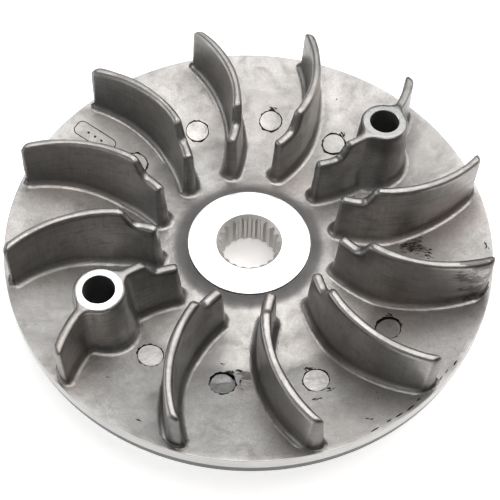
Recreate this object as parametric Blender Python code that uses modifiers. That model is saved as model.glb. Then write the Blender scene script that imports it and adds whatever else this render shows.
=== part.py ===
"""Drive-face fan of a scooter's belt transmission: a conical disc with a splined hub,
twelve curved cooling vanes and two tool bosses. Metres, +Z towards the fan side, with the
origin at the centre of the hub's back face."""

import math

import bmesh
import bpy
from mathutils import Matrix, Vector

MM = 0.001
FIT_GAP = 0.3 * MM
VANE_COUNT = 12
TURN_STEPS = 96

# Disc
DISC_RADIUS = 65.0 * MM
CONE_ANGLE = math.radians(14.5)
RIM_TOP_Z = 16.5 * MM
RIM_EDGE_CHAMFER = 0.4 * MM
RIM_WALL_BOTTOM_Z = 12.6 * MM
RIM_FOOT_RADIUS = 64.5 * MM
FAN_FLOOR_Z = 9.4 * MM
FAN_FLOOR_BLEND = 1.5 * MM
BACK_FLAT_RADIUS = 31.5 * MM
BACK_FLAT_Z = 0.5 * MM

# Hub and its internal spline
HUB_RADIUS = 16.7 * MM
HUB_FACE_Z = 11.5 * MM
HUB_EDGE_CHAMFER = 0.3 * MM
SKIRT_TOP_Z = 11.3 * MM
SKIRT_FOOT_RADIUS = 20.3 * MM
SKIRT_FOOT_RISE = 0.4 * MM
SPLINE_TEETH = 20
SPLINE_MODULE = 0.8 * MM
SPLINE_MOUTH_RADIUS = 9.0 * MM
SPLINE_ROOT_SHARE = 0.30
SPLINE_TIP_SHARE = 0.72

# Vanes: every one is the same circular arc in plan
VANE_TOP_Z = 30.2 * MM
VANE_STEP_Z = 24.8 * MM
VANE_TOP_THICKNESS = 1.9 * MM
VANE_DRAFT = math.radians(1.8)
VANE_EDGE_CHAMFER = 0.35 * MM
VANE_ARC_RADIUS = 34.9 * MM
VANE_ARC_CENTRE_RADIUS = 52.0 * MM
VANE_TIP_RADIUS = 62.6 * MM
VANE_TIP_FOOT_RADIUS = 63.4 * MM
VANE_HIGH_START_RADIUS = 32.9 * MM
VANE_STEP_OUTER_RADIUS = 30.3 * MM
VANE_STEP_INNER_RADIUS = 25.0 * MM
VANE_ROOT_RADIUS = 24.2 * MM
VANE_ARC_STEPS = 20

# Tool bosses, each standing in the middle of a vane
BOSS_AZIMUTH = math.radians(38.0)
BOSS_CIRCLE_RADIUS = 45.7 * MM
BOSS_TOP_RADIUS = 6.4 * MM
BOSS_FOOT_RADIUS = 7.8 * MM
BOSS_HOLE_RADIUS = 3.95 * MM
BOSS_HOLE_DEPTH = 17.0 * MM
DRILL_POINT_DEPTH = 1.2 * MM
BOSS_STEPS = 40

# How far cutters and blanks run past the faces they trim
OVERRUN = 2.0 * MM
VANE_OVERRUN_ANGLE = math.radians(8)

CAST_ALUMINIUM = ((0.42, 0.42, 0.41), 0.5, 0.9)
MACHINED_STEEL = ((0.72, 0.71, 0.69), 0.3, 1.0)
MACHINED_BOSS = ((0.62, 0.62, 0.61), 0.38, 1.0)


def clear_scene():
    """Remove every object that the file opens with."""
    for old in list(bpy.data.objects):
        bpy.data.objects.remove(old, do_unlink=True)


def new_collection(name):
    collection = bpy.data.collections.new(name)
    bpy.context.scene.collection.children.link(collection)
    return collection


def make_material(name, look):
    """A plain metal: base colour, roughness and metallic value."""
    colour, roughness, metallic = look
    material = bpy.data.materials.new(name)
    material.use_nodes = True
    shader = material.node_tree.nodes["Principled BSDF"]
    shader.inputs["Base Color"].default_value = (*colour, 1.0)
    shader.inputs["Roughness"].default_value = roughness
    shader.inputs["Metallic"].default_value = metallic
    return material


def add_object(name, mesh, collection, look=None):
    """Link a mesh as an object; a piece with a look gets a material of its own."""
    piece = bpy.data.objects.new(name, mesh)
    collection.objects.link(piece)
    if look is None:
        piece.hide_render = True
        piece.display_type = "WIRE"
    else:
        piece.data.materials.clear()
        piece.data.materials.append(make_material(name, look))
    return piece


def turned(name, profile, steps, collection, look=None, on_axis=False):
    """Turn a (radius, height) outline about Z. It runs down its outer side, and closes on
    itself unless it starts and ends on the axis."""
    mesh = bpy.data.meshes.new(name)
    points = [(radius, 0.0, height) for radius, height in profile]
    edges = [(i, i + 1) for i in range(len(points) - 1)]
    if not on_axis:
        edges.append((len(points) - 1, 0))
    mesh.from_pydata(points, edges, [])
    piece = add_object(name, mesh, collection, look)
    screw = piece.modifiers.new("turn", "SCREW")
    screw.angle = math.tau
    screw.steps = steps
    screw.render_steps = steps
    screw.use_merge_vertices = True
    screw.merge_threshold = 0.00001
    return piece


def cut(piece, cutter, operation="DIFFERENCE"):
    """Add an exact boolean of one object by another."""
    boolean = piece.modifiers.new(cutter.name, "BOOLEAN")
    boolean.operation = operation
    boolean.solver = "EXACT"
    boolean.object = cutter


def settle(piece):
    """Apply an object's modifiers, so that its own mesh is the finished shape."""
    mesh = evaluated_mesh(piece, piece.name)
    piece.modifiers.clear()
    piece.data = mesh


def evaluated_mesh(piece, name):
    """A plain mesh of an object with its modifiers applied, shaded smooth but for its edges."""
    graph = bpy.context.evaluated_depsgraph_get()
    mesh = bpy.data.meshes.new_from_object(piece.evaluated_get(graph))
    mesh.name = name
    mesh.shade_smooth()
    mesh.set_sharp_from_angle(angle=math.radians(30))
    return mesh


def cone_height(radius, start_radius, start_z):
    """Height of a conical face that rises from a start point towards the rim."""
    return start_z + (radius - start_radius) * math.tan(CONE_ANGLE)


def fan_floor_radius():
    """Where the conical fan side meets the flat floor around the hub."""
    return DISC_RADIUS - (RIM_TOP_Z - FAN_FLOOR_Z) / math.tan(CONE_ANGLE)


def fan_side(inner_radius, outer_radius, lift=0.0):
    """Section of the fan side's surface: a flat floor that turns up into the cone."""
    floor_end = fan_floor_radius()
    floor_z = FAN_FLOOR_Z + lift
    turn_end = floor_end + FAN_FLOOR_BLEND
    return [
        (inner_radius, floor_z),
        (floor_end - FAN_FLOOR_BLEND, floor_z),
        (turn_end, cone_height(turn_end, floor_end, floor_z)),
        (outer_radius, cone_height(outer_radius, floor_end, floor_z)),
    ]


def plate_profile():
    """Section of the disc, from the hub's skirt out over the fan side and back underneath."""
    bore = HUB_RADIUS + FIT_GAP
    return [
        (bore, SKIRT_TOP_Z),
        (SKIRT_FOOT_RADIUS, FAN_FLOOR_Z + SKIRT_FOOT_RISE),
        *fan_side(SKIRT_FOOT_RADIUS + FAN_FLOOR_BLEND, DISC_RADIUS - RIM_EDGE_CHAMFER),
        (DISC_RADIUS, RIM_TOP_Z - RIM_EDGE_CHAMFER),
        (DISC_RADIUS, RIM_WALL_BOTTOM_Z),
        (RIM_FOOT_RADIUS, cone_height(RIM_FOOT_RADIUS, BACK_FLAT_RADIUS, BACK_FLAT_Z)),
        (BACK_FLAT_RADIUS, BACK_FLAT_Z),
        (bore, BACK_FLAT_Z),
    ]


def hub_profile():
    """Section of the hub, cut down to its inner wall by the spline later."""
    solid_bore = SPLINE_MOUTH_RADIUS / 2
    edge = HUB_EDGE_CHAMFER
    return [
        (solid_bore, HUB_FACE_Z),
        (HUB_RADIUS - edge, HUB_FACE_Z),
        (HUB_RADIUS, HUB_FACE_Z - edge),
        (HUB_RADIUS, edge),
        (HUB_RADIUS - edge, 0.0),
        (solid_bore, 0.0),
    ]


def spline_outline():
    """Plan outline of the broach that cuts the hub: its teeth leave the spline's grooves."""
    pitch_radius = SPLINE_MODULE * SPLINE_TEETH / 2
    root_radius = pitch_radius + 0.55 * SPLINE_MODULE
    tip_radius = pitch_radius - 0.5 * SPLINE_MODULE
    pitch = math.tau / SPLINE_TEETH
    root = SPLINE_ROOT_SHARE / 2
    tip = SPLINE_TIP_SHARE / 2
    tooth_shape = ((-tip, tip_radius), (-root, root_radius), (root, root_radius), (tip, tip_radius))
    outline = []
    for tooth in range(SPLINE_TEETH):
        for share, radius in tooth_shape:
            angle = (tooth + share) * pitch
            outline.append((radius * math.cos(angle), radius * math.sin(angle)))
    return outline


def extruded(name, outline, bottom, top, collection):
    """A prism over a plan outline."""
    mesh = bpy.data.meshes.new(name)
    shape = bmesh.new()
    face = shape.faces.new([shape.verts.new((x, y, bottom)) for x, y in outline])
    raised = bmesh.ops.extrude_face_region(shape, geom=[face])["geom"]
    moved = [part for part in raised if isinstance(part, bmesh.types.BMVert)]
    bmesh.ops.translate(shape, verts=moved, vec=(0, 0, top - bottom))
    bmesh.ops.recalc_face_normals(shape, faces=shape.faces)
    shape.to_mesh(mesh)
    shape.free()
    return add_object(name, mesh, collection)


def mouth_cutter(name, face_z, outward, collection):
    """Cone that chamfers one mouth of the spline at 45 degrees."""
    wide = (SPLINE_MOUTH_RADIUS + OVERRUN, face_z + outward * OVERRUN)
    narrow = (SPLINE_MOUTH_RADIUS - OVERRUN, face_z - outward * OVERRUN)
    points = [(0.0, wide[1]), wide, narrow, (0.0, narrow[1])]
    if outward < 0:
        points.reverse()
    return turned(name, points, TURN_STEPS, collection, on_axis=True)


def vane_envelope(collection):
    """Turned ring whose section is a vane's side view: stepped top, sloped ends, conical foot."""
    above = VANE_TOP_Z + OVERRUN
    step_slope = (VANE_HIGH_START_RADIUS - VANE_STEP_OUTER_RADIUS) / (VANE_TOP_Z - VANE_STEP_Z)
    foot = fan_side(VANE_ROOT_RADIUS, VANE_TIP_FOOT_RADIUS, FIT_GAP)
    foot.reverse()
    profile = [
        (VANE_HIGH_START_RADIUS + step_slope * OVERRUN, above),
        (VANE_TIP_RADIUS, above),
        (VANE_TIP_RADIUS, VANE_TOP_Z),
        *foot,
        (VANE_STEP_INNER_RADIUS, VANE_STEP_Z),
        (VANE_STEP_OUTER_RADIUS, VANE_STEP_Z),
    ]
    return turned("vane_envelope", profile, TURN_STEPS, collection)


def arc_centre():
    """Centre of a vane's arc, for the vane that crosses the boss circle on +X."""
    reach = BOSS_CIRCLE_RADIUS
    centre = VANE_ARC_CENTRE_RADIUS
    cosine = (reach**2 + centre**2 - VANE_ARC_RADIUS**2) / (2 * reach * centre)
    azimuth = math.acos(cosine)
    return Vector((centre * math.cos(azimuth), centre * math.sin(azimuth), 0.0))


def arc_angle(radius):
    """Angle about the arc's centre at which the vane crosses a circle about the hub."""
    centre = arc_centre()
    reach = VANE_ARC_CENTRE_RADIUS
    cosine = (radius**2 + reach**2 - VANE_ARC_RADIUS**2) / (2 * radius * reach)
    azimuth = math.atan2(centre.y, centre.x) - math.acos(cosine)
    point = Vector((radius * math.cos(azimuth), radius * math.sin(azimuth), 0.0)) - centre
    return math.atan2(point.y, point.x)


def vane_body(name, start, end, collection):
    """Drafted wall along the vane's arc between two angles, taller and deeper than the vane."""
    bottom = FAN_FLOOR_Z - OVERRUN
    half_top = VANE_TOP_THICKNESS / 2
    half_bottom = half_top + (VANE_TOP_Z - bottom) * math.tan(VANE_DRAFT)
    edge = VANE_EDGE_CHAMFER
    section = [
        (-half_bottom, bottom),
        (-half_top, VANE_TOP_Z - edge),
        (-half_top + edge, VANE_TOP_Z),
        (half_top - edge, VANE_TOP_Z),
        (half_top, VANE_TOP_Z - edge),
        (half_bottom, bottom),
    ]
    centre = arc_centre()
    outward = Vector((math.cos(start), math.sin(start), 0.0))
    mesh = bpy.data.meshes.new(name)
    shape = bmesh.new()
    corners = []
    for offset, height in section:
        corner = centre + outward * (VANE_ARC_RADIUS + offset)
        corner.z = height
        corners.append(shape.verts.new(corner))
    face = shape.faces.new(corners)
    bmesh.ops.spin(
        shape,
        geom=[face, *face.edges, *face.verts],
        cent=centre,
        axis=(0, 0, 1),
        angle=end - start,
        steps=VANE_ARC_STEPS,
    )
    bmesh.ops.recalc_face_normals(shape, faces=shape.faces)
    shape.to_mesh(mesh)
    shape.free()
    return add_object(name, mesh, collection)


def boss_profile(grow):
    """Tapered boss, or with grow the space that its neighbours leave free round it."""
    taper = (BOSS_FOOT_RADIUS - BOSS_TOP_RADIUS) / (VANE_TOP_Z - FAN_FLOOR_Z)
    top = VANE_TOP_Z + 3 * grow
    bottom = FAN_FLOOR_Z - OVERRUN
    top_radius = BOSS_TOP_RADIUS + grow - taper * 3 * grow
    bottom_radius = BOSS_FOOT_RADIUS + grow + taper * OVERRUN
    return [(0.0, top), (top_radius, top), (bottom_radius, bottom), (0.0, bottom)]


def build_disc(parts):
    """The conical disc, with the hole that the hub sits in."""
    settle(turned("drive_face_disc", plate_profile(), TURN_STEPS, parts, CAST_ALUMINIUM))


def build_hub(parts, cutters):
    """The hub, broached with its internal spline and chamfered at both mouths."""
    hub = turned("splined_hub", hub_profile(), TURN_STEPS, parts, MACHINED_STEEL)
    broach = extruded("spline_broach", spline_outline(), -OVERRUN, HUB_FACE_Z + OVERRUN, cutters)
    cut(hub, broach)
    cut(hub, mouth_cutter("front_mouth", HUB_FACE_Z, 1, cutters))
    cut(hub, mouth_cutter("back_mouth", 0.0, -1, cutters))
    settle(hub)


def build_vanes(parts, cutters, envelope):
    """Ten plain vanes of one shape, at the azimuths that hold no boss."""
    start = arc_angle(VANE_ROOT_RADIUS) - VANE_OVERRUN_ANGLE
    end = arc_angle(VANE_TIP_FOOT_RADIUS) + VANE_OVERRUN_ANGLE
    blank = vane_body("vane_blank", start, end, cutters)
    cut(blank, envelope, "INTERSECT")
    mesh = evaluated_mesh(blank, "fan_vane")
    number = 0
    for index in range(VANE_COUNT):
        if index % (VANE_COUNT // 2) == 0:
            continue
        number += 1
        vane = add_object(f"fan_vane_{number:02d}", mesh.copy(), parts, CAST_ALUMINIUM)
        vane.rotation_euler.z = BOSS_AZIMUTH + index * math.tau / VANE_COUNT


def boss_vane_mesh(name, start, end, cutters, envelope, clearance):
    """One arm of a boss's vane, ending clear of the boss."""
    blank = vane_body(f"{name}_blank", start, end, cutters)
    cut(blank, envelope, "INTERSECT")
    cut(blank, clearance)
    return evaluated_mesh(blank, name)


def boss_mesh(cutters, under_boss):
    """Tapered boss with its blind tool hole, standing on the conical fan side."""
    blank = turned("boss_blank", boss_profile(0.0), BOSS_STEPS, cutters, on_axis=True)
    blank.location.x = BOSS_CIRCLE_RADIUS
    hole_bottom = VANE_TOP_Z - BOSS_HOLE_DEPTH
    hole_profile = [
        (0.0, VANE_TOP_Z + OVERRUN),
        (BOSS_HOLE_RADIUS, VANE_TOP_Z + OVERRUN),
        (BOSS_HOLE_RADIUS, hole_bottom),
        (0.0, hole_bottom - DRILL_POINT_DEPTH),
    ]
    hole = turned("tool_hole", hole_profile, BOSS_STEPS, cutters, on_axis=True)
    hole.location.x = BOSS_CIRCLE_RADIUS
    cut(blank, under_boss)
    cut(blank, hole)
    mesh = evaluated_mesh(blank, "tool_boss")
    mesh.transform(Matrix.Translation((BOSS_CIRCLE_RADIUS, 0, 0)))
    return mesh


def under_boss_cutter(cutters):
    """Everything below the fan side's surface plus the fit gap."""
    inner = SPLINE_MOUTH_RADIUS
    outer = DISC_RADIUS + OVERRUN
    profile = [*fan_side(inner, outer, FIT_GAP), (outer, -OVERRUN), (inner, -OVERRUN)]
    return turned("under_fan_side", profile, TURN_STEPS, cutters)


def build_bosses(parts, cutters, envelope):
    """Two opposite bosses, each with an inner and an outer arm of the vane it stands in."""
    middle = arc_angle(BOSS_CIRCLE_RADIUS)
    root = arc_angle(VANE_ROOT_RADIUS) - VANE_OVERRUN_ANGLE
    tip = arc_angle(VANE_TIP_FOOT_RADIUS) + VANE_OVERRUN_ANGLE
    clearance = turned("boss_clearance", boss_profile(FIT_GAP), BOSS_STEPS, cutters, on_axis=True)
    clearance.location.x = BOSS_CIRCLE_RADIUS
    shapes = {
        "tool_boss": boss_mesh(cutters, under_boss_cutter(cutters)),
        "boss_inner_vane": boss_vane_mesh("boss_inner_vane", root, middle, cutters, envelope, clearance),
        "boss_outer_vane": boss_vane_mesh("boss_outer_vane", middle, tip, cutters, envelope, clearance),
    }
    for number in (1, 2):
        for name, mesh in shapes.items():
            look = MACHINED_BOSS if name == "tool_boss" else CAST_ALUMINIUM
            piece = add_object(f"{name}_{number}", mesh.copy(), parts, look)
            piece.rotation_euler.z = BOSS_AZIMUTH + (number - 1) * math.pi


def main():
    clear_scene()
    parts = new_collection("drive_face_fan")
    cutters = new_collection("cutters")
    build_disc(parts)
    build_hub(parts, cutters)
    envelope = vane_envelope(cutters)
    build_vanes(parts, cutters, envelope)
    build_bosses(parts, cutters, envelope)


main()
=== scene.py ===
"""Looks of the drive-face fan: one die casting with a splined hub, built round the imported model.

The vanes and bosses are rounded solids cut from distance fields, so that each flows into the
disc through a real fillet. The disc and hub are turned from fine profiles."""

import math

import bmesh
import bpy
import numpy as np
from mathutils import Matrix, Vector


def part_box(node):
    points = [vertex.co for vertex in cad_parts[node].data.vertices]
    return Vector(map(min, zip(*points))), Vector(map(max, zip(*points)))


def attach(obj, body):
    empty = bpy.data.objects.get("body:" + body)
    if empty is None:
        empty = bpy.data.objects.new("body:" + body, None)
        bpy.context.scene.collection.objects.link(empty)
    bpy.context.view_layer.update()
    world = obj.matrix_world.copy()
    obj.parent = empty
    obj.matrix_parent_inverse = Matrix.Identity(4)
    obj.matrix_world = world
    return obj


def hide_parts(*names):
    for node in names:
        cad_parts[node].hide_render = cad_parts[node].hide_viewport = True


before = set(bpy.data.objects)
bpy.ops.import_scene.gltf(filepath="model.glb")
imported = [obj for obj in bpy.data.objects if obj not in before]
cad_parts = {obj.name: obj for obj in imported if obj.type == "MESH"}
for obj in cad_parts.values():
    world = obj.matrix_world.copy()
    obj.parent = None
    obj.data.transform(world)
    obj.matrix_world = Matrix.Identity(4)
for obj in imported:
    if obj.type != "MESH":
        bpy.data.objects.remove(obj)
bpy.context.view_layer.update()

MM = 0.001

# Sizes read from the frame
DISC_LOW, DISC_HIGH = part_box("drive_face_disc")
HUB_LOW, HUB_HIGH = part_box("splined_hub")
BOSS_LOW, BOSS_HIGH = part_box("tool_boss_1")
DISC_RADIUS = DISC_HIGH.x
RIM_TOP_Z = DISC_HIGH.z
BACK_FLAT_Z = DISC_LOW.z
HUB_RADIUS = HUB_HIGH.x
HUB_FACE_Z = HUB_HIGH.z
HUB_BACK_Z = HUB_LOW.z
VANE_TOP_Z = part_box("fan_vane_01")[1].z
BOSS_CENTRE = (BOSS_LOW + BOSS_HIGH) / 2
BOSS_CIRCLE_RADIUS = math.hypot(BOSS_CENTRE.x, BOSS_CENTRE.y)
BOSS_AZIMUTH = math.atan2(BOSS_CENTRE.y, BOSS_CENTRE.x)

# Disc. SKIRT_CURVE is an exponent.
CONE_SLOPE = math.tan(math.radians(14.5))
FAN_FLOOR_Z = 9.4 * MM
FAN_FLOOR_BLEND = 1.5 * MM
FAN_FLOOR_END = DISC_RADIUS - (RIM_TOP_Z - FAN_FLOOR_Z) / CONE_SLOPE
RIM_WALL_BOTTOM_Z = 12.6 * MM
RIM_FOOT_RADIUS = 64.5 * MM
BACK_FLAT_RADIUS = 31.5 * MM
SKIRT_TOP_Z = 11.1 * MM
SKIRT_END_RADIUS = 22.6 * MM
SKIRT_CURVE = 2.6
SKIRT_START = 0.08

# Vanes. VANE_EDGE_ROUND is a share of the wall's half thickness.
VANE_COUNT = 12
VANE_STEP_Z = 24.8 * MM
VANE_HALF_TOP = 1.18 * MM
VANE_DRAFT = math.tan(math.radians(2.1))
VANE_ARC_RADIUS = 34.9 * MM
VANE_ARC_CENTRE_RADIUS = 52.0 * MM
VANE_TIP_RADIUS = 63.25 * MM
VANE_TIP_FOOT_RADIUS = 63.55 * MM
VANE_HIGH_START_RADIUS = 32.9 * MM
VANE_STEP_OUTER_RADIUS = 30.3 * MM
VANE_ROOT_RADIUS = 23.9 * MM
VANE_NOSE_LEAN = 0.06
VANE_EDGE_ROUND = 0.82
VANE_CORNER_ROUND = 1.1 * MM
VANE_TIP_ROUND = 1.4 * MM
FOOT_FILLET = 1.8 * MM
TIP_FILLET = 0.9 * MM
FILLET_GROWTH = 0.5

# Bosses
BOSS_TOP_RADIUS = 6.4 * MM
BOSS_TAPER = math.tan(math.radians(3.85))
BOSS_HOLE_RADIUS = 3.95 * MM
BOSS_HOLE_DEPTH = 17.0 * MM
BOSS_WEB_FILLET = 2.0 * MM
BOSS_EDGE_ROUND = 0.8 * MM
HOLE_CHAMFER = 0.12 * MM

# A vane's foot dips below the disc, so that the two surfaces meet without a gap
FOOT_SINK = 0.02 * MM
FOOT_DEPTH = 0.7 * MM
FOOT_SPREAD = 0.3 * MM

# Spline
SPLINE_TEETH = 20
SPLINE_TIP_RADIUS = 7.6 * MM
SPLINE_ROOT_RADIUS = 8.44 * MM
SPLINE_MOUTH_RADIUS = 9.0 * MM

# Fineness of the meshes
CELL = 0.42 * MM
BOSS_CELL = 0.34 * MM
BOX_MARGIN = 1.6 * MM
BOSS_BOX_MARGIN = 2.6 * MM
SLOPE_STEP = 0.01 * MM
SETTLE_PASSES = 4
SETTLE_REACH = 0.7
LEAST_SQUARE_SLOPE = 0.05
TURN_COLUMNS = 360
TURN_STRAIGHT = 1.4 * MM
DRILL_COLUMNS = 96
ARC_STEPS = 5
SKIRT_ROWS = 12
BLEND_ROWS = 9
SPLINE_ROWS = 9
TURN_SHARP_ANGLE = math.radians(30)
CUT_SHARP_ANGLE = math.radians(28)
BOSS_SHARP_ANGLE = math.radians(35)

# Unevenness of the castings
WANDER_WAVES = 7
WANDER_LENGTHS = (7 * MM, 24 * MM)
WANDER_SIZE = 0.22 * MM
WANDER_START = 2 * MM
WANDER_FADE = 3 * MM
WANDER_FLAT_FADE = 2 * MM
WANDER_RIDGE_FADE = 0.5 * MM
WANDER_RIDGE_SHARE = 0.4

# Finer shape of the disc and hub. The spline's tip and root are shares of the tooth pitch,
# measured from the middle of a root.
HUB_SEAM = 0.06 * MM
HUB_EDGE_ROUND = 0.12 * MM
HUB_EDGE_STEPS = 4
SHARP_ROUND = 0.15 * MM
RIM_EDGE_ROUND = 0.15 * MM
RIM_FOOT_ROUND = 0.3 * MM
BACK_FLAT_ROUND = 1.0 * MM
DRILL_POINT_DEPTH = 1.2 * MM
TIP_START = 0.36
ROOT_END = 0.15
FLANK_BULGE = 0.18

# Ejector-pin prints: azimuth (degrees), radius and depth (mm), outward lean (degrees), finish,
# direction of the widest groove and of the flash nick (degrees from outward; None for no nick)
PIN_RADIUS = 3.25 * MM
PIN_GROOVE = 0.2 * MM
PIN_GROOVE_WIDEST = 0.34 * MM
PIN_GROOVE_DEPTH = 0.35 * MM
PIN_GROOVE_RAGGED = 0.08 * MM
PIN_GROOVE_LEAST = -0.1 * MM
PIN_PAD_INSET = 0.05 * MM
PIN_PAD_ROUGH = 0.02 * MM
PIN_COLUMNS = 60
CUTTER_TOP = 1.5 * MM
PIN_MARKS = (
    (30, 36, 0.10, 0, "pad", 180, None),
    (56.5, 43, 0.25, 3, "plain", 200, -10),
    (83, 44, 0.15, 1.5, "pad", 170, 0),
    (112.5, 42.5, 0.22, 3, "pad", 160, None),
    (141.5, 42.5, 0.15, 2, "pad", 180, None),
    (172, 43, 0.12, 1.5, "pad", 90, None),
    (203, 43, 0.12, 1.5, "pad", 90, None),
    (235.5, 42.5, 0.30, 4, "pad", 10, None),
    (262.5, 42.5, 0.60, -4, "pad_dull", 10, 160),
    (293.5, 44.5, 0.30, 4, "pad", 325, 185),
    (325, 44.5, 0.35, -3, "pad_dull", 110, 115),
)

# Facets pressed into some pads: direction it rises in (degrees from outward), start (mm), slope
PIN_FACETS = {1: (170, 0.3, 0.14), 2: (275, -0.2, 0.10), 8: (200, 0.5, 0.24), 10: (55, 1.6, 0.4)}

# Flaws of the casting: azimuth (degrees), radius, spread along and across (mm), count of pits,
# direction the pits run in (degrees from outward)
FLAWS = (
    (2, 42, 1.4, 0.9, 14, 15),
    (0, 45, 1.8, 1.6, 30, 0),
    (356.5, 48.5, 1.6, 0.9, 16, -20),
    (358, 63.5, 0.9, 0.5, 6, 90),
    (268.5, 42.5, 0.7, 1.6, 5, 30),
    (266.5, 38.5, 1.8, 0.5, 8, 90),
    (261, 37, 0.5, 0.3, 3, 90),
    (291, 50, 1.6, 0.3, 5, 90),
    (296, 48.5, 0.6, 0.6, 4, 60),
    (191, 52, 0.6, 1.2, 4, 0),
    (232, 55, 0.2, 0.2, 1, 90),
    (129, 24.5, 0.3, 0.3, 2, 90),
    (63.5, 56, 0.3, 0.3, 1, 90),
    (246, 60.5, 0.8, 0.3, 2, 90),
    (299.5, 61, 1.0, 0.6, 3, 60),
    (345.5, 53.5, 0.4, 0.4, 2, 90),
)
MARK_AZIMUTH = math.radians(144)
MARK_RADIUS = 56 * MM
MARK_TURN = math.radians(8)
MARK_HALF_LENGTH = 6.3 * MM
MARK_HALF_WIDTH = 2.4 * MM
MARK_CORNER = 1.6 * MM
MARK_LINE = 0.2 * MM
MARK_DOT_SPACING = 2.2 * MM
MARK_DOT_COLUMNS = 20
MARK_DOT = ((0.0, 0.3), (0.42, 0.3), (0.38, -0.12), (0.0, -0.12))
NICKS_START = math.radians(299)
NICKS_END = math.radians(324)

# Seeds of the random draws
PIN_SEED = 100
FLAW_SEED = 77
NICK_SEED = 41

# Smallest and largest measures of nicks and pits (mm), their lean (radians), and their height
# as a share of their width
NICK_LENGTHS = (0.4, 1.3)
NICK_WIDTHS = (0.10, 0.22)
NICK_INSETS = (0.9, 1.5)
NICK_GAPS = (0.3, 2.2)
PIT_LENGTHS = (0.25, 0.85)
PIT_WIDTHS = (0.09, 0.20)
NICK_LEAN = 0.1
PIT_LEAN = 0.5
GOUGE_HEIGHT = 0.8

# Torn flash beside a pin print: gap, turn from the nick's direction (degrees), spread along and
# across (mm) and count of pits
FLASH_GAP = 0.45 * MM
FLASH_TURN = 60
FLASH = (0.9, 0.5, 14)

# Slots of the disc's and the hub's finishes. PAD_EDGE is the dark one in every groove and pit:
# dirt with painted shade.
CAST, RIM, RIM_LOW, BELT, BACK, PAD, PAD_DULL, PAD_EDGE = range(8)
FACE, CHAMFER, SPLINE = range(3)

# Tones of the metals, and the range of roughness of the cast ones
CAST_TONE = (0.40, 0.395, 0.385)
# Cast tone of the two boss vanes, darker than the other vanes' though it is the same casting:
# painted shade
BOSS_SHADED_CAST_TONE = (0.33, 0.327, 0.318)
VANE_ROUGHNESS = (0.33, 0.45)
DISC_ROUGHNESS = (0.40, 0.52)
PAD_ROUGHNESS = (0.45, 0.65)
RIM_TONE = (0.56, 0.56, 0.55)
# The rim's lower band is painted near black: painted shade, for the shaded floor that it reflects
RIM_LOW_SHADE_TONE = (0.14, 0.14, 0.137)
BELT_TONE = (0.62, 0.62, 0.61)
# Machined tops of the two bosses: the first one's darker tone is painted shade, the second's is
# the plain machined tone
BOSS_TOP_SHADED_AND_PLAIN_TONES = ((0.30, 0.30, 0.295), (0.80, 0.80, 0.79))
# Drilled hole, darker than the other machined faces: painted shade in the hole
BORE_SHADED_TONE = (0.25, 0.25, 0.25)
STEEL_TONE = (0.86, 0.86, 0.85)
SPLINE_TONE = (0.60, 0.585, 0.555)
PAD_TONE = (0.66, 0.65, 0.64)
PAD_DULL_TONE = (0.33, 0.33, 0.33)
# Near black of the grooves, pits and nicks: dirt with painted shade in the recesses
GROOVE_DIRT_AND_SHADE_TONE = (0.045, 0.041, 0.038)
HUB_RING_TONE = (0.28, 0.274, 0.28)
HUB_RING_WIDTH = 3.2 * MM
HUB_RING_WANDER = 0.4 * MM
HUB_RING_ROUGHER = 0.36
BOSS_RING_PITCH = 0.5 * MM

# Turned finishes: material name, tone, roughness, pitch of the rings and depth (mm)
TURNED_LOOKS = {
    "rim": ("machined_rim", RIM_TONE, 0.34, 0.18, 0.01),
    # Dark tone of the rim's lower band: painted shade
    "rim_low": ("rim_undercut_painted_shade", RIM_LOW_SHADE_TONE, 0.5, 0.3, 0.02),
    "belt": ("turned_belt_face", BELT_TONE, 0.3, 0.22, 0.012),
    "back": ("turned_back", BELT_TONE, 0.38, 0.35, 0.02),
    "boss_edge": ("boss_chamfer", BOSS_TOP_SHADED_AND_PLAIN_TONES[1], 0.25, 0.1, 0.004),
    # Darker drilled hole: painted shade
    "bore": ("drilled_hole", BORE_SHADED_TONE, 0.6, 0.3, 0.02),
    "hub_face": ("hub_face_turned", STEEL_TONE, 0.32, 0.25, 0.004),
    "hub_chamfer": ("hub_chamfer", STEEL_TONE, 0.5, 0.15, 0.004),
    "spline": ("broached_spline", SPLINE_TONE, 0.5, 0.4, 0.004),
}

# Dark blotches near the tip of one vane, and dirt round two flaws of the disc: centre and radius
TIP_DARK_PATCH = ((57.5 * MM, -12.5 * MM, 11 * MM),)
DISC_DIRT = ((44.5 * MM, 0.5 * MM, 5.5 * MM), (1 * MM, -41 * MM, 4.5 * MM))
DARK_SPOT_TONE = (0.09, 0.085, 0.08)
SPECK_TONE = (0.06, 0.055, 0.05)
PAD_DENTS = 0.3 * MM
VANE_SCRAPES = 0.65
# Painted shade on the vanes' end faces, near black towards the tip: its strength and width
TIP_END_SHADE = 0.55
TIP_END_SHADE_WIDTH = 0.9 * MM

# Camera
CAMERA_ELEVATION = math.radians(55.3)
CAMERA_DISTANCE = 273 * MM
CAMERA_ROLL = math.radians(1.75)
CAMERA_LENS = 73.4
CAMERA_SHIFT = (0.001, -0.0386)

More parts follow.
